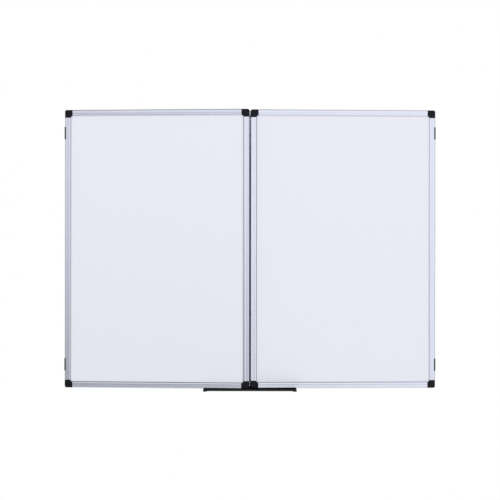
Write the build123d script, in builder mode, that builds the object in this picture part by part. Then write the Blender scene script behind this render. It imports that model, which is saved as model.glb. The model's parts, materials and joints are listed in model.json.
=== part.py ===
from build123d import *
import os
from math import sqrt

# A wall-mounted folding whiteboard. A fixed main board hangs on the wall. Two half-width wings are
# hinged at its outer edges and stand slightly ajar. A pen tray slides along under the main board.
# Millimetres. X runs to the right as seen from the front, Y into the wall and Z up. The origin is
# the middle of the back plane, which is also the middle of the four wall fixings.

# Overall size
board_width = 1200.0
board_height = 900.0
frame_depth = 16.0
board_gap = 2.0
meeting_gap = 1.0
left_ajar = 3.5
right_ajar = 2.2

# Aluminium frame extrusion
frame_face = 20.5
frame_wall = 1.8
edge_radius = 3.0
least_inner_radius = 0.5
web_from_edge = 9.2
groove_from_edge = 9.3
groove_width = 1.4
groove_depth = 0.8
crown_rise = 0.4
lip_thickness = 3.0
lip_tip = 0.4
lip_slope = 2.6
mouth_width = 5.0

# Writing panels
sheet_thickness = 0.5
panel_play = 1.0
panel_corner_cut = 12.0

# Corner caps
cap_arm = 25.5
cap_arm_width = 19.5
cap_outer_radius = 6.0
cap_inner_bevel = 3.0
cap_spigot = 18.0
spigot_play = 0.1
pocket_play = 0.5
fixing_inset = 12.5
fixing_radius = 2.5
cover_radius = 6.0
cover_thickness = 2.0
cover_sunk = 0.2
cover_play = 0.2
head_pocket_radius = 4.8
head_pocket_depth = 4.0
skirt_wall = 1.0
skirt_play = 0.1
skirt_length = 2.6

# Hinges
hinge_from_end = 75.0
hinge_length = 40.0
knuckle_count = 5
knuckle_radius = 1.9
knuckle_play = 0.15
knuckle_chamfer = 0.4
pin_outside = 1.0
pin_radius = 0.9
pin_play = 0.05
pin_head_radius = 1.4
pin_head_height = 0.6
leaf_thickness = 0.8
leaf_width = 12.0
leaf_corner = 2.0
leaf_lip = 4.0
leaf_bend = 0.6
leaf_play = 0.2
rivet_spacing = 24.0
rivet_radius = 1.6
rivet_head_radius = 2.2
rivet_tail_height = 1.0
rivet_play = 0.05

# Pen tray
tray_length = 300.0
tray_reach = 64.0
tray_height = 5.4
tray_running_gap = 0.3
tray_wing_clearance = 1.0
tray_floor = 1.8
tray_lip = 2.0
tray_lip_rounding = 0.65
tray_flange = 2.2
flange_back_inset = 2.5
flange_front_inset = 1.0
rib_width = 1.5
rib_height = 1.0
rib_from_front = 18.0
cap_length = 12.0
cap_end_wall = 2.5
cap_under = 1.8
cap_front = 1.6
cap_nose_radius = 3.0
slider_length = 25.0
slider_from_middle = 120.0
slider_head_height = 3.6
slider_play = 0.2
slider_head_play = 0.4
screw_radius = 1.25
screw_play = 0.05
screw_hole_play = 0.35
screw_head_radius = 2.8
screw_head_height = 1.6
screw_grip = 3.6

# Places worked out from the sizes above
half_width = board_width / 2
half_height = board_height / 2
channel_from_edge = web_from_edge + frame_wall
panel_inset = channel_from_edge + panel_play
core_thickness = frame_depth - 2 * (lip_thickness + sheet_thickness)
chamber_width = web_from_edge - frame_wall
chamber_depth = frame_depth - 2 * frame_wall
chamber_corner = max(edge_radius - frame_wall, least_inner_radius)
main_front = -frame_depth
wing_back = main_front - board_gap
wing_front = wing_back - frame_depth
pin_x = half_width + pin_outside
pin_y = main_front - board_gap / 2
hinge_heights = [half_height - hinge_from_end, hinge_from_end - half_height]
rivet_heights = [z + step * rivet_spacing / 2 for z in hinge_heights for step in (1, -1)]
recess_radius = cover_radius + cover_play
recess_depth = cover_thickness + cover_sunk
rail_bottom = -half_height
tray_top = rail_bottom - tray_running_gap
tray_bottom = tray_top - tray_height
tray_front = main_front - tray_reach

# How near an edge's middle lies to a face that it is on
touching = 0.01

os.makedirs("parts", exist_ok=True)


def keep(builder, name, place=Location()):
    """Set a finished piece in its place, label it and write its STEP file."""
    piece = builder.part.moved(place)
    piece.label = name
    export_step(piece, f"parts/{name}.step")


def frame_section(has_mouth):
    """Section of the frame extrusion: X runs in from the outer edge, Y across the depth.

    Each face is flat up to a groove, then crowned, and slopes down to the panel at the end.
    """
    half_depth = frame_depth / 2
    channel_half = half_depth - lip_thickness
    slope_start = frame_face - lip_slope
    groove_middle = groove_from_edge + groove_width / 2
    crown_start = groove_from_edge + groove_width
    crown_middle = (crown_start + slope_start) / 2
    crown_foot = half_depth - crown_rise
    with BuildSketch() as section:
        with BuildLine():
            Polyline(
                (crown_start, crown_foot),
                (groove_middle, crown_foot),
                (groove_middle, half_depth),
                (0, half_depth),
                (0, -half_depth),
                (groove_middle, -half_depth),
                (groove_middle, -crown_foot),
                (crown_start, -crown_foot),
            )
            ThreePointArc(
                (crown_start, -crown_foot), (crown_middle, -half_depth), (slope_start, -crown_foot)
            )
            Polyline(
                (slope_start, -crown_foot),
                (frame_face, -channel_half - lip_tip),
                (frame_face, channel_half + lip_tip),
                (slope_start, crown_foot),
            )
            ThreePointArc(
                (slope_start, crown_foot), (crown_middle, half_depth), (crown_start, crown_foot)
            )
        make_face()
        fillet(section.vertices().group_by(Axis.X)[0], radius=edge_radius)
        with Locations((frame_wall + chamber_width / 2, 0)):
            Rectangle(chamber_width, chamber_depth, mode=Mode.SUBTRACT)
        outer_wall = (frame_wall - touching, frame_wall + touching)
        chamber_corners = section.vertices().filter_by_position(Axis.X, *outer_wall)
        fillet(chamber_corners, radius=chamber_corner)
        with Locations((channel_from_edge, 0)):
            Rectangle(
                frame_face, 2 * channel_half, align=(Align.MIN, Align.CENTER), mode=Mode.SUBTRACT
            )
        with Locations((groove_middle, half_depth), (groove_middle, -half_depth)):
            Rectangle(groove_width, 2 * groove_depth, mode=Mode.SUBTRACT)
        if has_mouth:
            with Locations((frame_wall / 2, 0)):
                Rectangle(frame_wall, mouth_width, mode=Mode.SUBTRACT)
    return section.sketch


def frame_bar(start, inward, run, length, has_mouth=False, rivet_places=(), lip_places=()):
    """A length of extrusion from start, with rivet holes and seats for hinge lips where asked."""
    with BuildPart() as bar:
        with BuildSketch(Plane(origin=start, x_dir=inward, z_dir=run)):
            add(frame_section(has_mouth))
        extrude(amount=length)
        for place in rivet_places:
            with BuildSketch(Plane(origin=place, z_dir=inward)):
                Circle(rivet_radius + rivet_play)
            extrude(amount=frame_wall, mode=Mode.SUBTRACT)
        for place in lip_places:
            with BuildSketch(Plane(origin=place, x_dir=inward, z_dir=(0, -1, 0))):
                Rectangle(
                    leaf_lip + leaf_play,
                    hinge_length + 2 * leaf_play,
                    align=(Align.MIN, Align.CENTER),
                )
            extrude(amount=-leaf_thickness, mode=Mode.SUBTRACT)
    return bar


def corner_cap(corner, covered_back):
    """A corner moulding. Its plane lies on the back face, its axes run in along the two bars."""
    pocket_edge = panel_inset - pocket_play
    pocket_bevel = panel_corner_cut - pocket_play * (sqrt(2) - 1)
    pocket_far = cap_arm + cap_arm_width
    chamber_middle = frame_wall + chamber_width / 2
    bars = ((corner.x_dir, corner.y_dir), (corner.y_dir, corner.x_dir))
    with BuildPart() as cap:
        with BuildSketch(corner):
            with BuildLine():
                Polyline(
                    (0, 0),
                    (cap_arm, 0),
                    (cap_arm, cap_arm_width),
                    (cap_arm_width + cap_inner_bevel, cap_arm_width),
                    (cap_arm_width, cap_arm_width + cap_inner_bevel),
                    (cap_arm_width, cap_arm),
                    (0, cap_arm),
                    close=True,
                )
            make_face()
        extrude(amount=frame_depth)
        upright = cap.edges().filter_by(Axis.Y)
        fillet(upright.sort_by_distance(corner.origin)[0], radius=cap_outer_radius)
        fillet(outer_rims(cap, corner), radius=edge_radius)
        with BuildSketch(corner.offset(lip_thickness)):
            with BuildLine():
                Polyline(
                    (pocket_edge + pocket_bevel, pocket_edge),
                    (pocket_far, pocket_edge),
                    (pocket_far, pocket_far),
                    (pocket_edge, pocket_far),
                    (pocket_edge, pocket_edge + pocket_bevel),
                    close=True,
                )
            make_face()
        extrude(amount=frame_depth - 2 * lip_thickness, mode=Mode.SUBTRACT)
        for along, across in bars:
            root = corner.origin + along * cap_arm + across * chamber_middle
            middle = root + corner.z_dir * (frame_depth / 2)
            with BuildSketch(Plane(origin=middle, x_dir=across, z_dir=along)) as spigot:
                Rectangle(chamber_width - 2 * spigot_play, chamber_depth - 2 * spigot_play)
                outer_corners = spigot.vertices().group_by(Axis.X)[0]
                fillet(outer_corners, radius=chamber_corner - spigot_play)
            extrude(amount=cap_spigot)
        centre = corner.from_local_coords(Vector(fixing_inset, fixing_inset, 0))
        front_face = Plane(origin=centre + corner.z_dir * frame_depth, z_dir=corner.z_dir)
        back_face = Plane(origin=centre, z_dir=-corner.z_dir)
        with Locations(front_face):
            Hole(fixing_radius, depth=frame_depth)
        with Locations(*((front_face, back_face) if covered_back else (front_face,))):
            Hole(recess_radius, depth=recess_depth)
            Hole(head_pocket_radius, depth=recess_depth + head_pocket_depth)
    return cap


def outer_rims(cap, corner):
    """The front and back edges along a cap's two outer sides and round its outer corner."""
    rims = []
    for edge in cap.edges():
        middle = corner.to_local_coords(edge.position_at(0.5))
        on_face = min(abs(middle.Z), abs(middle.Z - frame_depth)) < touching
        if on_face and min(middle.X, middle.Y) < cap_outer_radius / 2:
            rims.append(edge)
    return rims


def corner_planes(x_low, x_high, y_back):
    """The four corner planes of a board, each with its normal towards the front."""
    front = (0, -1, 0)
    return {
        "bottom_left": Plane(origin=(x_low, y_back, -half_height), x_dir=(1, 0, 0), z_dir=front),
        "bottom_right": Plane(origin=(x_high, y_back, -half_height), x_dir=(0, 0, 1), z_dir=front),
        "top_right": Plane(origin=(x_high, y_back, half_height), x_dir=(-1, 0, 0), z_dir=front),
        "top_left": Plane(origin=(x_low, y_back, half_height), x_dir=(0, 0, -1), z_dir=front),
    }


def frame(name, x_low, x_high, y_back, place=Location(), is_main=False, hinged=(-1, 1)):
    """The four bars, four corner caps and screw covers round one board."""
    y_mid = y_back - frame_depth / 2
    bar_width = x_high - x_low - 2 * cap_arm
    bar_height = board_height - 2 * cap_arm
    rail_start = x_low + cap_arm
    stile_start = -half_height + cap_arm
    keep(
        frame_bar((rail_start, y_mid, half_height), (0, 0, -1), (1, 0, 0), bar_width),
        f"{name}_top_rail",
        place,
    )
    keep(
        frame_bar((rail_start, y_mid, -half_height), (0, 0, 1), (1, 0, 0), bar_width, is_main),
        f"{name}_bottom_rail",
        place,
    )
    for side, edge_x, label in ((-1, x_low, "left_stile"), (1, x_high, "right_stile")):
        rivets = [(edge_x, y_mid, z) for z in rivet_heights] if side in hinged else []
        has_lips = side in hinged and not is_main
        lips = [(edge_x, y_back - frame_depth, z) for z in hinge_heights] if has_lips else []
        stile = frame_bar(
            (edge_x, y_mid, stile_start), (-side, 0, 0), (0, 0, 1), bar_height, False, rivets, lips
        )
        keep(stile, f"{name}_{label}", place)
    corners = corner_planes(x_low, x_high, y_back)
    for label, corner in corners.items():
        keep(corner_cap(corner, not is_main), f"{name}_{label}_corner", place)
    keep(screw_covers(corners.values(), not is_main), f"{name}_screw_covers", place)


def screw_covers(corners, covered_back):
    """Round snap-in covers over the fixing holes: a disc with a skirt that enters the head pocket."""
    skirt_radius = head_pocket_radius - skirt_play
    with BuildPart() as covers:
        for corner in corners:
            centre = corner.from_local_coords(Vector(fixing_inset, fixing_inset, 0))
            faces = [(frame_depth - recess_depth, 1)]
            if covered_back:
                faces.append((recess_depth, -1))
            for height, way in faces:
                floor = Plane(origin=centre + corner.z_dir * height, z_dir=corner.z_dir * way)
                with BuildSketch(floor):
                    Circle(cover_radius)
                extrude(amount=cover_thickness)
                with BuildSketch(floor):
                    Circle(skirt_radius)
                    Circle(skirt_radius - skirt_wall, mode=Mode.SUBTRACT)
                extrude(amount=-skirt_length)
    return covers


def panel(x_low, x_high, y_front, thickness):
    """One layer of a writing panel, its corners bevelled, reaching back from y_front."""
    width = x_high - x_low - 2 * panel_inset
    height = board_height - 2 * panel_inset
    centre = ((x_low + x_high) / 2, y_front, 0)
    with BuildPart() as layer:
        with BuildSketch(Plane(origin=centre, x_dir=(1, 0, 0), z_dir=(0, -1, 0))) as outline:
            Rectangle(width, height)
            chamfer(outline.vertices(), length=panel_corner_cut)
        extrude(amount=-thickness)
    return layer


def layers(name, x_low, x_high, y_back, front_name, back_name, place=Location()):
    """The front sheet, the core and the back sheet of one board."""
    front_sheet = y_back - frame_depth + lip_thickness
    core_front = front_sheet + sheet_thickness
    back_sheet = core_front + core_thickness
    keep(panel(x_low, x_high, front_sheet, sheet_thickness), f"{name}_{front_name}", place)
    keep(panel(x_low, x_high, core_front, core_thickness), f"{name}_core_board", place)
    keep(panel(x_low, x_high, back_sheet, sheet_thickness), f"{name}_{back_name}", place)


def hinge_leaf(side, z_mid, way):
    """A hinge leaf on a board's outer edge. way is 1 for the fixed leaf, -1 for the moving one.

    The moving leaf goes on round the wing's front edge, in a lip that is let in flush.
    """
    knuckle = hinge_length / knuckle_count
    bottom = z_mid - hinge_length / 2
    outer_x = side * (half_width + leaf_thickness)
    reach = leaf_width if way > 0 else pin_y - wing_front
    lip_length = leaf_lip + leaf_thickness
    first_gap = 1 if way > 0 else 0
    with BuildPart() as leaf:
        with BuildSketch(Plane.XY.offset(bottom)):
            with Locations((side * pin_x, pin_y)):
                Circle(knuckle_radius)
        extrude(amount=hinge_length)
        chamfer(leaf.edges().filter_by(GeomType.CIRCLE), length=knuckle_chamfer)
        with BuildSketch(Plane.XY.offset(bottom)) as plate:
            with Locations((outer_x - side * leaf_thickness / 2, pin_y + way * reach / 2)):
                Rectangle(leaf_thickness, reach)
            if way < 0:
                with Locations((outer_x - side * lip_length / 2, wing_front + leaf_thickness / 2)):
                    Rectangle(lip_length, leaf_thickness)
                bend = plate.vertices().sort_by_distance((outer_x, wing_front, 0))[0]
                fillet(bend, radius=leaf_bend)
        extrude(amount=hinge_length)
        if way > 0:
            free_edges = leaf.edges().filter_by(Axis.X).group_by(Axis.Y)[-1]
        else:
            free_edges = leaf.edges().filter_by(Axis.Y).group_by(Axis.X)[0 if side > 0 else -1]
        fillet(free_edges, radius=leaf_corner)
        for step in range(first_gap, knuckle_count, 2):
            with BuildSketch(Plane.XY.offset(bottom + step * knuckle - knuckle_play)):
                with Locations((side * pin_x, pin_y)):
                    Circle(knuckle_radius + 2 * knuckle_play)
            extrude(amount=knuckle + 2 * knuckle_play, mode=Mode.SUBTRACT)
        with BuildSketch(Plane.XY.offset(bottom)):
            with Locations((side * pin_x, pin_y)):
                Circle(pin_radius + pin_play)
        extrude(amount=hinge_length, mode=Mode.SUBTRACT)
        for step in (1, -1):
            height = z_mid + step * rivet_spacing / 2
            with Locations(rivet_seat(side, height, way)):
                CounterSinkHole(
                    rivet_radius + rivet_play,
                    rivet_head_radius + rivet_play,
                    depth=leaf_thickness,
                    counter_sink_angle=90,
                )
    return leaf


def rivet_seat(side, height, way):
    """Where a rivet enters a leaf's outer face, opposite the middle of the frame's depth."""
    rivet_y = pin_y + way * (board_gap + frame_depth) / 2
    place = (side * (half_width + leaf_thickness), rivet_y, height)
    return Plane(origin=place, x_dir=(0, 1, 0), z_dir=(side, 0, 0))


def hinge_pin(side, z_mid):
    """The pin through the knuckles, with a flat head at each end."""
    with BuildPart() as pin:
        with BuildSketch(Plane.XY.offset(z_mid - hinge_length / 2)):
            with Locations((side * pin_x, pin_y)):
                Circle(pin_radius)
        extrude(amount=hinge_length)
        for end, way in ((z_mid + hinge_length / 2, 1), (z_mid - hinge_length / 2, -1)):
            with BuildSketch(Plane.XY.offset(end)):
                with Locations((side * pin_x, pin_y)):
                    Circle(pin_head_radius)
            extrude(amount=way * pin_head_height)
    return pin


def hinge_rivets(sides, way):
    """The flush rivets of the fixed leaves or of one wing's leaves, set over inside the stile."""
    head_depth = rivet_head_radius - rivet_radius
    grip = leaf_thickness + frame_wall
    with BuildPart() as rivets:
        for side in sides:
            for height in rivet_heights:
                seat = rivet_seat(side, height, way)
                with BuildSketch(Plane(origin=seat.origin, x_dir=seat.x_dir, z_dir=seat.y_dir)):
                    with BuildLine():
                        Polyline(
                            (0, 0),
                            (rivet_head_radius, 0),
                            (rivet_radius, head_depth),
                            (rivet_radius, grip),
                            (rivet_head_radius, grip),
                            (rivet_head_radius, grip + rivet_tail_height),
                            (0, grip + rivet_tail_height),
                            close=True,
                        )
                    make_face()
                revolve(axis=Axis(seat.origin, seat.z_dir))
    return rivets


def swing(side, degrees_open):
    """Turn a wing about its hinge pins, open by so many degrees."""
    pin = Pos(side * pin_x, pin_y, 0)
    return pin * Rot(0, 0, side * degrees_open) * pin.inverse()


def main_board():
    """The board that stays on the wall, with the fixed half of every hinge."""
    frame("main", -half_width, half_width, 0, is_main=True)
    layers("main", -half_width, half_width, 0, "writing_sheet", "backing_sheet")
    for side, side_name in ((-1, "left"), (1, "right")):
        for z_mid, end_name in zip(hinge_heights, ("upper", "lower")):
            keep(hinge_leaf(side, z_mid, 1), f"{side_name}_{end_name}_fixed_leaf")
            keep(hinge_pin(side, z_mid), f"{side_name}_{end_name}_hinge_pin")
    keep(hinge_rivets((-1, 1), 1), "main_hinge_rivets")


def wing(side, side_name, degrees_open):
    """One wing: a framed panel with two writing faces, and the moving half of its hinges."""
    outer_x = side * half_width
    inner_x = side * meeting_gap / 2
    x_low, x_high = sorted((outer_x, inner_x))
    name = f"{side_name}_wing"
    place = swing(side, degrees_open)
    frame(name, x_low, x_high, wing_back, place, hinged=(side,))
    layers(name, x_low, x_high, wing_back, "front_sheet", "rear_sheet", place)
    for z_mid, end_name in zip(hinge_heights, ("upper", "lower")):
        keep(hinge_leaf(side, z_mid, -1), f"{side_name}_{end_name}_moving_leaf", place)
    keep(hinge_rivets((side,), -1), f"{name}_hinge_rivets", place)


def tray_channel():
    """The extruded trough: a flange under the main rail, a low floor, a rib and a front lip."""
    flange_back = -flange_back_inset
    flange_front = main_front + flange_front_inset
    floor_top = tray_bottom + tray_floor
    drop = tray_top - floor_top
    front = tray_front + cap_front
    lip_top = rail_bottom - tray_wing_clearance
    flange_bottom = tray_top - tray_flange
    rise = flange_bottom - tray_bottom
    length = tray_length - 2 * cap_end_wall
    with BuildPart() as channel:
        with BuildSketch(Plane.YZ.offset(-length / 2)) as outline:
            with BuildLine():
                Polyline(
                    (flange_back, tray_top),
                    (flange_front, tray_top),
                    (flange_front - drop, floor_top),
                    (front + tray_lip, floor_top),
                    (front + tray_lip, lip_top),
                    (front, lip_top),
                    (front, tray_bottom),
                    (flange_front - drop, tray_bottom),
                    (flange_front - drop + rise, flange_bottom),
                    (flange_back, flange_bottom),
                    close=True,
                )
            make_face()
            lip_corners = outline.vertices().group_by(Axis.X)[0]
            fillet(lip_corners, radius=tray_lip_rounding)
            with Locations((front + rib_from_front, floor_top)):
                Rectangle(rib_width, 2 * rib_height)
        extrude(amount=length)
        for side in (-1, 1):
            place = (side * slider_from_middle, main_front / 2, tray_top)
            with BuildSketch(Plane(origin=place, z_dir=(0, 0, -1))):
                Circle(screw_radius + screw_hole_play)
            extrude(amount=tray_flange, mode=Mode.SUBTRACT)
    return channel


def tray_cap(side):
    """An end cap: an end wall, with a skin that wraps the channel's underside and front."""
    cap_top = rail_bottom - tray_wing_clearance
    cap_bottom = tray_bottom - cap_under
    cap_back = main_front + flange_front_inset
    inner_end = Plane.YZ.offset(side * (tray_length / 2 - cap_length))
    skin_front = tray_front + cap_front
    with BuildPart() as cap:
        with BuildSketch(inner_end):
            with Locations((cap_back, cap_top)):
                Rectangle(cap_back - tray_front, cap_top - cap_bottom, align=(Align.MAX, Align.MAX))
        extrude(amount=side * cap_length)
        nose = cap.edges().filter_by(Axis.X).group_by(Axis.Y)[0].group_by(Axis.Z)[0]
        fillet(nose, radius=cap_nose_radius)
        with BuildSketch(inner_end):
            with Locations((cap_back, cap_top)):
                Rectangle(cap_back - skin_front, cap_top - tray_bottom, align=(Align.MAX, Align.MAX))
        extrude(amount=side * (cap_length - cap_end_wall), mode=Mode.SUBTRACT)
    return cap


def tray_sliders():
    """Two T-shaped sliders that run in the mouth of the main bottom rail."""
    head_bottom = rail_bottom + frame_wall + slider_play
    with BuildPart() as sliders:
        for side in (-1, 1):
            start = side * slider_from_middle - slider_length / 2
            with BuildSketch(Plane.YZ.offset(start)) as outline:
                with Locations((main_front / 2, tray_top)):
                    Rectangle(
                        mouth_width - 2 * slider_play,
                        head_bottom - tray_top,
                        align=(Align.CENTER, Align.MIN),
                    )
                with Locations((main_front / 2, head_bottom)):
                    Rectangle(
                        chamber_depth - 2 * slider_head_play,
                        slider_head_height,
                        align=(Align.CENTER, Align.MIN),
                    )
                ends = outline.vertices().group_by(Axis.X)
                low_corners = [ends[0].sort_by(Axis.Y)[0], ends[-1].sort_by(Axis.Y)[0]]
                fillet(low_corners, radius=chamber_corner - slider_play)
            extrude(amount=slider_length)
            place = (side * slider_from_middle, main_front / 2, tray_top)
            with BuildSketch(Plane(origin=place, z_dir=(0, 0, 1))):
                Circle(screw_radius + screw_play)
            extrude(amount=screw_grip, mode=Mode.SUBTRACT)
    return sliders


def tray_screws():
    """The two screws that hold the channel's flange up to the sliders."""
    with BuildPart() as screws:
        for side in (-1, 1):
            place = (side * slider_from_middle, main_front / 2, tray_top - tray_flange)
            under_flange = Plane(origin=place, z_dir=(0, 0, 1))
            with BuildSketch(under_flange):
                Circle(screw_radius)
            extrude(amount=tray_flange + screw_grip - screw_play)
            with BuildSketch(under_flange):
                Circle(screw_head_radius)
            extrude(amount=-screw_head_height)
    return screws


def pen_tray():
    """The sliding pen tray."""
    keep(tray_channel(), "tray_channel")
    keep(tray_cap(-1), "tray_left_cap")
    keep(tray_cap(1), "tray_right_cap")
    keep(tray_sliders(), "tray_sliders")
    keep(tray_screws(), "tray_screws")


main_board()
wing(-1, "left", left_ajar)
wing(1, "right", right_ajar)
pen_tray()
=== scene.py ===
"""The looks of the folding whiteboard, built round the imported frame. Metres, as in the frame."""
import json
import math

import bpy
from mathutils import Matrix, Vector

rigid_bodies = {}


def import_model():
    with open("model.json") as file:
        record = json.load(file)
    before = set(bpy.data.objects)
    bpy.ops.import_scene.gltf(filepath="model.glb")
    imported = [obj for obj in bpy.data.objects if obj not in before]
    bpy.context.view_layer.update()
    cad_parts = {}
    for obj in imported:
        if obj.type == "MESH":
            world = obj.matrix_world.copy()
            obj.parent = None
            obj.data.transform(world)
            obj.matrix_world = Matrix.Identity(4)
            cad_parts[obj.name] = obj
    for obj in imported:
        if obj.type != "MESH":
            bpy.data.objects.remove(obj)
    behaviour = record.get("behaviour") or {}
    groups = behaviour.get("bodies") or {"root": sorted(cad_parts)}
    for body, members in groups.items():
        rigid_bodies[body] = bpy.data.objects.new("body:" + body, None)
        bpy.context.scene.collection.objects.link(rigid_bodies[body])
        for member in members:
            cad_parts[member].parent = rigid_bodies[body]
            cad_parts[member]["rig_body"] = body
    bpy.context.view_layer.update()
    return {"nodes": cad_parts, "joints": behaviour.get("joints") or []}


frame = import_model()

# The photograph. The closed board spans 370.1 of its 500 pixels and hangs just above the middle.
IMAGE_PIXELS = 500.0
BOARD_PIXELS = 370.1
BOARD_CENTRE_PIXEL = (250.05, 248.9)

# The board that it shows, and the camera. Its distance is from the front of the closed wings.
BOARD_WIDTH = 1.2
WING_FRONT_Y = -0.034
CAMERA_DISTANCE = 3.5
CAMERA_ROLL = math.radians(-0.066)
SENSOR_MM = 36.0

# The floor fades to the white of the backdrop between two distances from its middle
FLOOR_Z = -1.3
FLOOR_RADIUS = 2.2
FLOOR_SIDES = 96
FLOOR_FADE = (1.1, 2.0)
FLOOR_GREY = 0.86
FLOOR_ROUGHNESS = 0.9

# The light from all round, where 1 is the white of the backdrop
SKY_FILL = 0.955

# The room that gloss sees: its brightest direction, and its levels at two cosines to that direction
ROOM_BRIGHTEST = Vector((0.0, -0.95, 0.15)).normalized()
ROOM_COSINES = (0.0, 1.0)
ROOM_LEVELS = (0.42, 1.19)

# Where gloss sees the room dimmed: a direction, the cosines at the patch's edge and core, and its level
DIM_PATCHES = (
    (Vector((-0.35, -0.75, -0.56)).normalized(), (0.75, 0.91), 0.27),
    (Vector((-0.35, -0.55, 0.75)).normalized(), (0.70, 0.92), 0.30),
    (Vector((0.90, -0.42, 0.0)).normalized(), (0.82, 0.97), 0.75),
)

# Behind the board the room gives way to the backdrop, between these Y parts of a direction
BACKDROP_FADE = (0.55, 0.95)

# The lamps: a key up to the right, a weaker one up to the left and one behind. Each has its name, its
# place, the length of its side and its level. Its power in watts is the level times pi and its area.
LAMPS = (
    ("key", (2.6, -3.6, 2.6), 1.0, 5.0),
    ("left", (-2.4, -3.2, 1.5), 1.0, 2.0),
    ("behind", (-1.5, 3.0, 1.6), 1.6, 1.6),
)
LAMP_TARGET = Vector((0, -0.03, 0))

# Most of a noise texture's values lie in this range
NOISE_RANGE = (0.3, 0.7)

MICRON = 0.000001

# How far each wing stands ajar, as a turn about Z from its closed place
AJAR = {}
for joint in frame["joints"]:
    if joint["name"].endswith("wing_hinge"):
        AJAR[joint["child"]] = math.radians(joint["range_deg"][0]) * -joint["axis"][2]


def camera():
    """A level camera in front of the board, as in the photograph."""
    pixels_per_metre = BOARD_PIXELS / BOARD_WIDTH
    data = bpy.data.cameras.new("camera")
    data.sensor_fit = "HORIZONTAL"
    data.sensor_width = SENSOR_MM
    data.lens = SENSOR_MM * CAMERA_DISTANCE * pixels_per_metre / IMAGE_PIXELS
    stand = bpy.data.objects.new("camera", data)
    across = (IMAGE_PIXELS / 2 - BOARD_CENTRE_PIXEL[0]) / pixels_per_metre
    up = (BOARD_CENTRE_PIXEL[1] - IMAGE_PIXELS / 2) / pixels_per_metre
    stand.location = (across, WING_FRONT_Y - CAMERA_DISTANCE, up)
    stand.rotation_euler = (math.radians(90), CAMERA_ROLL, 0)
    bpy.context.scene.collection.objects.link(stand)
    bpy.context.scene.camera = stand


def add_node(tree, kind, inputs=None, **settings):
    """A shader node with its settings made and its inputs linked or set."""
    made = tree.nodes.new(kind)
    for name, value in settings.items():
        setattr(made, name, value)
    for name, value in (inputs or {}).items():
        if isinstance(value, bpy.types.NodeSocket):
            tree.links.new(value, made.inputs[name])
        else:
            made.inputs[name].default_value = value
    return made


def maths(tree, operation, first, second):
    """The output of a Math node."""
    return add_node(tree, "ShaderNodeMath", {0: first, 1: second}, operation=operation).outputs[0]


def vector_maths(tree, operation, first, second=(0, 0, 0)):
    """The outputs of a Vector Math node: Vector, and Value where the result is a number."""
    return add_node(
        tree, "ShaderNodeVectorMath", {0: first, 1: second}, operation=operation
    ).outputs


def towards(tree, direction, goal):
    """The cosine of the angle between a direction and a fixed one."""
    return vector_maths(tree, "DOT_PRODUCT", direction, goal)["Value"]


def ranged(tree, value, source, target, smooth=False):
    """A value moved from one range to another, and held within it."""
    made = add_node(
        tree,
        "ShaderNodeMapRange",
        {"Value": value, "From Min": source[0], "From Max": source[1],
         "To Min": target[0], "To Max": target[1]},
        interpolation_type="SMOOTHSTEP" if smooth else "LINEAR",
    )
    return made.outputs["Result"]


def mixed(tree, factor, first, second):
    """A value between two others, which a Mix node takes on its sockets 2 and 3."""
    return add_node(
        tree, "ShaderNodeMix", {0: factor, 2: first, 3: second}, data_type="FLOAT"
    ).outputs[0]


def seen_directly(tree, path):
    """1 for a ray from the camera or through something clear, otherwise 0."""
    return maths(tree, "MAXIMUM", path["Is Camera Ray"], path["Is Transmission Ray"])


def world():
    """A white backdrop all round. Gloss sees a room in front, dimmer at three patches."""
    made = bpy.data.worlds.new("studio")
    made.use_nodes = True
    bpy.context.scene.world = made
    tree = made.node_tree
    path = add_node(tree, "ShaderNodeLightPath").outputs
    direction = add_node(tree, "ShaderNodeTexCoord").outputs["Generated"]
    room = ranged(tree, towards(tree, direction, ROOM_BRIGHTEST), ROOM_COSINES, ROOM_LEVELS)
    for patch, cosines, level in DIM_PATCHES:
        dimmed = ranged(tree, towards(tree, direction, patch), cosines, (1, level))
        room = maths(tree, "MULTIPLY", room, dimmed)
    depth = add_node(tree, "ShaderNodeSeparateXYZ", {0: direction}).outputs["Y"]
    behind = ranged(tree, depth, BACKDROP_FADE, (0, 1), smooth=True)
    gloss = mixed(tree, behind, room, 1.0)
    lit = mixed(tree, path["Is Glossy Ray"], SKY_FILL, gloss)
    shown = mixed(tree, seen_directly(tree, path), lit, 1.0)
    backdrop = tree.nodes["Background"]
    backdrop.inputs["Color"].default_value = (1, 1, 1, 1)
    tree.links.new(shown, backdrop.inputs["Strength"])


def new_material(name, colour, metallic, roughness, specular=0.5):
    """A material with its constants on the shader's own sockets."""
    made = bpy.data.materials.new(name)
    made.use_nodes = True
    shader = made.node_tree.nodes["Principled BSDF"]
    shader.inputs["Base Color"].default_value = (*colour, 1)
    shader.inputs["Metallic"].default_value = metallic
    shader.inputs["Roughness"].default_value = roughness
    shader.inputs["Specular IOR Level"].default_value = specular
    return made, made.node_tree, shader


def floor():
    """A pale floor well below the board, which fades to the white of the backdrop."""
    made, tree, shader = new_material("floor", (FLOOR_GREY,) * 3, metallic=0.0, roughness=FLOOR_ROUGHNESS)
    place = add_node(tree, "ShaderNodeTexCoord").outputs["Object"]
    fade = ranged(tree, vector_maths(tree, "LENGTH", place)["Value"], FLOOR_FADE, (0, 1), smooth=True)
    path = add_node(tree, "ShaderNodeLightPath").outputs
    faded = maths(tree, "MULTIPLY", fade, seen_directly(tree, path))
    white = add_node(tree, "ShaderNodeEmission", {"Color": (1, 1, 1, 1), "Strength": 1.0}).outputs[0]
    whole = add_node(tree, "ShaderNodeMixShader", {0: faded, 1: shader.outputs[0], 2: white})
    tree.links.new(whole.outputs[0], tree.nodes["Material Output"].inputs["Surface"])
    bpy.ops.mesh.primitive_circle_add(
        vertices=FLOOR_SIDES, radius=FLOOR_RADIUS, fill_type="NGON", location=(0, 0, FLOOR_Z)
    )
    ground = bpy.context.active_object
    ground.name = "floor"
    ground.data.materials.append(made)


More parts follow.
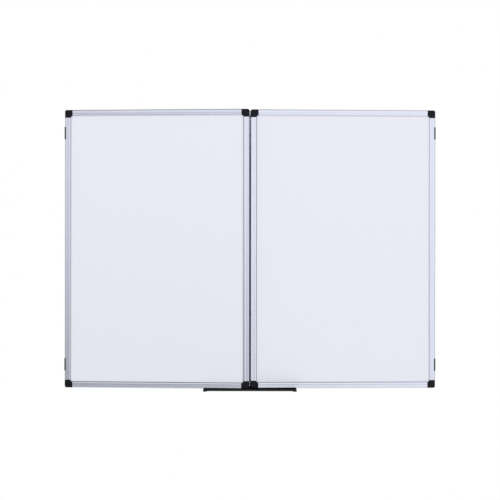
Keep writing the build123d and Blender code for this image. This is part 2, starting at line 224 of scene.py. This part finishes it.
def softbox(name, place, side, level):
    """A square lamp that faces the middle of the board. Neither the camera nor gloss sees it."""
    data = bpy.data.lights.new(name, "AREA")
    data.shape = "SQUARE"
    data.size = side
    data.energy = level * math.pi * side * side
    lamp = bpy.data.objects.new(name, data)
    lamp.location = place
    lamp.rotation_euler = (LAMP_TARGET - Vector(place)).to_track_quat("-Z", "Y").to_euler()
    lamp.visible_camera = False
    lamp.visible_glossy = False
    bpy.context.scene.collection.objects.link(lamp)


def place_on_board(tree, turn=0.0, squeeze=(1, 1, 1)):
    """Coordinates in metres along the closed board's own axes. Squeezing one draws textures out."""
    place = add_node(tree, "ShaderNodeTexCoord").outputs["Object"]
    turned = add_node(tree, "ShaderNodeMapping", {"Vector": place, "Rotation": (0, 0, turn)})
    return add_node(
        tree, "ShaderNodeMapping", {"Vector": turned.outputs[0], "Scale": squeeze}
    ).outputs[0]


def noise(tree, place, scale, detail=2.0, roughness=0.5, distortion=0.0):
    """The value of a noise texture, with scale in cells per metre."""
    made = add_node(
        tree,
        "ShaderNodeTexNoise",
        {"Vector": place, "Scale": scale, "Detail": detail, "Roughness": roughness,
         "Distortion": distortion},
    )
    return made.outputs["Fac"]


def paint(tree, shader, factor, first, second):
    """Vary a shader's colour between two, which a Mix node takes on its sockets 6 and 7."""
    made = add_node(
        tree, "ShaderNodeMix", {0: factor, 6: (*first, 1), 7: (*second, 1)}, data_type="RGBA"
    )
    tree.links.new(made.outputs[2], shader.inputs["Base Color"])


def roughen(tree, shader, value, shiniest, dullest, source=NOISE_RANGE):
    """Vary a shader's roughness between two values."""
    tree.links.new(ranged(tree, value, source, (shiniest, dullest)), shader.inputs["Roughness"])


def emboss(tree, shader, *layers):
    """Bump a shader's surface with layers, each a height, its depth in metres and its strength."""
    normal = None
    for height, depth, strength in layers:
        inputs = {"Height": height, "Distance": depth, "Strength": strength}
        if normal is not None:
            inputs["Normal"] = normal
        normal = add_node(tree, "ShaderNodeBump", inputs).outputs[0]
    tree.links.new(normal, shader.inputs["Normal"])


def anodised_aluminium(name, along_x, turn):
    """Satin anodised extrusion: fine die lines along the bar over an etched grain."""
    made, tree, shader = new_material(name, (0.69, 0.71, 0.82), metallic=1.0, roughness=0.26)
    along = 0.004
    squeeze = (along, 1, 1) if along_x else (1, 1, along)
    lines = noise(tree, place_on_board(tree, turn, squeeze), scale=1100, detail=4, roughness=0.7)
    grain = noise(tree, place_on_board(tree, turn), scale=2600)
    cloud = noise(tree, place_on_board(tree, turn), scale=14, detail=3)
    paint(tree, shader, cloud, (0.67, 0.69, 0.80), (0.71, 0.73, 0.84))
    roughen(tree, shader, lines, 0.20, 0.28)
    emboss(tree, shader, (lines, 60 * MICRON, 1.0), (grain, 10 * MICRON, 0.4))
    return made


def white_lacquer(name, turn):
    """White lacquered steel: a faint orange peel, and wipes that show mostly in the gloss."""
    made, tree, shader = new_material(name, (0.80, 0.80, 0.89), metallic=0.0, roughness=0.2)
    shader.inputs["Coat Weight"].default_value = 0.25
    shader.inputs["Coat Roughness"].default_value = 0.08
    wiped = place_on_board(tree, turn, squeeze=(1, 1, 0.35))
    wipes = noise(tree, wiped, scale=7, detail=4, distortion=1.2)
    peel = noise(tree, place_on_board(tree, turn), scale=320)
    paint(tree, shader, wipes, (0.795, 0.795, 0.885), (0.805, 0.805, 0.895))
    roughen(tree, shader, wipes, 0.17, 0.24)
    emboss(tree, shader, (peel, 30 * MICRON, 0.35))
    return made


def zinc_sheet(name):
    """Galvanised backing sheet, with the flat crystals of its zinc."""
    made, tree, shader = new_material(name, (0.56, 0.58, 0.60), metallic=1.0, roughness=0.45)
    place = place_on_board(tree)
    wander = add_node(tree, "ShaderNodeTexNoise", {"Vector": place, "Scale": 40.0}).outputs["Color"]
    reach = (0.02, 0.02, 0.02)
    shift = vector_maths(tree, "MULTIPLY", wander, reach)["Vector"]
    warped = vector_maths(tree, "ADD", place, shift)["Vector"]
    crystals = add_node(tree, "ShaderNodeTexVoronoi", {"Vector": warped, "Scale": 75.0})
    tones = add_node(tree, "ShaderNodeSeparateColor", {"Color": crystals.outputs["Color"]})
    shade = tones.outputs["Red"]
    paint(tree, shader, shade, (0.50, 0.52, 0.54), (0.62, 0.64, 0.66))
    roughen(tree, shader, shade, 0.34, 0.52, source=(0, 1))
    emboss(tree, shader, (shade, 20 * MICRON, 0.3))
    return made


def core_board(name):
    """Brown paper board, with its fibres."""
    made, tree, shader = new_material(
        name, (0.42, 0.29, 0.16), metallic=0.0, roughness=0.85, specular=0.2
    )
    drawn = place_on_board(tree, squeeze=(1, 1, 0.15))
    fibres = noise(tree, drawn, scale=900, detail=5, roughness=0.7)
    paint(tree, shader, fibres, (0.34, 0.23, 0.12), (0.50, 0.36, 0.21))
    emboss(tree, shader, (fibres, 200 * MICRON, 0.5))
    return made


def moulded_plastic(name, colour, roughness, grain_depth):
    """Black moulded plastic: a spark-eroded grain, and a sheen that varies a little."""
    made, tree, shader = new_material(name, colour, metallic=0.0, roughness=roughness, specular=0.22)
    shader.inputs["Specular Tint"].default_value = (0.82, 0.82, 1.0, 1)
    place = place_on_board(tree)
    grain = noise(tree, place, scale=1900, detail=3, roughness=0.6)
    cloud = noise(tree, place, scale=90)
    shiniest = roughness - 0.04
    dullest = roughness + 0.05
    roughen(tree, shader, cloud, shiniest, dullest)
    emboss(tree, shader, (grain, grain_depth, 0.6))
    return made


def extruded_plastic(name):
    """Black extruded plastic: faint lines along its length."""
    made, tree, shader = new_material(
        name, (0.015, 0.015, 0.019), metallic=0.0, roughness=0.38, specular=0.3
    )
    drawn = place_on_board(tree, squeeze=(0.006, 1, 1))
    lines = noise(tree, drawn, scale=700, detail=3, roughness=0.6)
    grain = noise(tree, place_on_board(tree), scale=2400)
    roughen(tree, shader, lines, 0.33, 0.45)
    emboss(tree, shader, (lines, 40 * MICRON, 0.5), (grain, 10 * MICRON, 0.4))
    return made


def plated_steel(name, dark, light, roughness):
    """Plated steel with a fine tumbled grain and slightly uneven plating."""
    made, tree, shader = new_material(name, dark, metallic=1.0, roughness=roughness)
    place = place_on_board(tree)
    cloud = noise(tree, place, scale=260, detail=4, roughness=0.65)
    grain = noise(tree, place, scale=3200)
    shiniest = roughness - 0.06
    dullest = roughness + 0.06
    paint(tree, shader, ranged(tree, cloud, (0.35, 0.65), (0, 1)), dark, light)
    roughen(tree, shader, cloud, shiniest, dullest)
    emboss(tree, shader, (grain, 10 * MICRON, 0.6))
    return made


def dress(name_ends, material, body=None):
    """Give a material to the nodes, of one body or of all, whose name ends in one of these ways."""
    for name, node in frame["nodes"].items():
        if body is not None and node["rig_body"] != body:
            continue
        if name.endswith(name_ends):
            for slot in node.material_slots:
                slot.material = material


def panels_and_frames():
    """Dress the bars and the writing faces of the board and its wings, each along its own axes."""
    for body in ("main_board", "left_wing", "right_wing"):
        turn = -AJAR.get(body, 0.0)
        rails = anodised_aluminium(f"{body}_rail_aluminium", along_x=True, turn=turn)
        stiles = anodised_aluminium(f"{body}_stile_aluminium", along_x=False, turn=turn)
        lacquer = white_lacquer(f"{body}_lacquer", turn)
        dress("_rail", rails, body)
        dress("_stile", stiles, body)
        dress(("_writing_sheet", "_front_sheet", "_rear_sheet"), lacquer, body)
    dress("_backing_sheet", zinc_sheet("zinc"))
    dress("_core_board", core_board("core"))


def black_plastics():
    """Dress the corner caps, the screw covers and the tray."""
    black = (0.0035, 0.0035, 0.0065)
    slider_black = (0.02, 0.02, 0.022)
    caps = moulded_plastic("cap_plastic", black, roughness=0.34, grain_depth=40 * MICRON)
    covers = moulded_plastic("cover_plastic", black, roughness=0.32, grain_depth=20 * MICRON)
    sliders = moulded_plastic("slider_plastic", slider_black, roughness=0.3, grain_depth=10 * MICRON)
    dress(("_corner", "tray_left_cap", "tray_right_cap"), caps)
    dress("_screw_covers", covers)
    dress("tray_sliders", sliders)
    dress("tray_channel", extruded_plastic("tray_plastic"))


def fittings():
    """Dress the hinges, their pins and rivets, and the tray's screws."""
    hinges = plated_steel("hinge_steel", (0.06, 0.06, 0.068), (0.09, 0.09, 0.10), roughness=0.42)
    pins = plated_steel("pin_steel", (0.34, 0.34, 0.35), (0.42, 0.42, 0.43), roughness=0.34)
    screws = plated_steel("screw_steel", (0.52, 0.53, 0.55), (0.62, 0.63, 0.65), roughness=0.28)
    dress("_leaf", hinges)
    dress(("_pin", "_rivets"), pins)
    dress("tray_screws", screws)


bpy.context.scene.view_settings.view_transform = "Standard"
camera()
world()
floor()
for lamp in LAMPS:
    softbox(*lamp)
panels_and_frames()
black_plastics()
fittings()
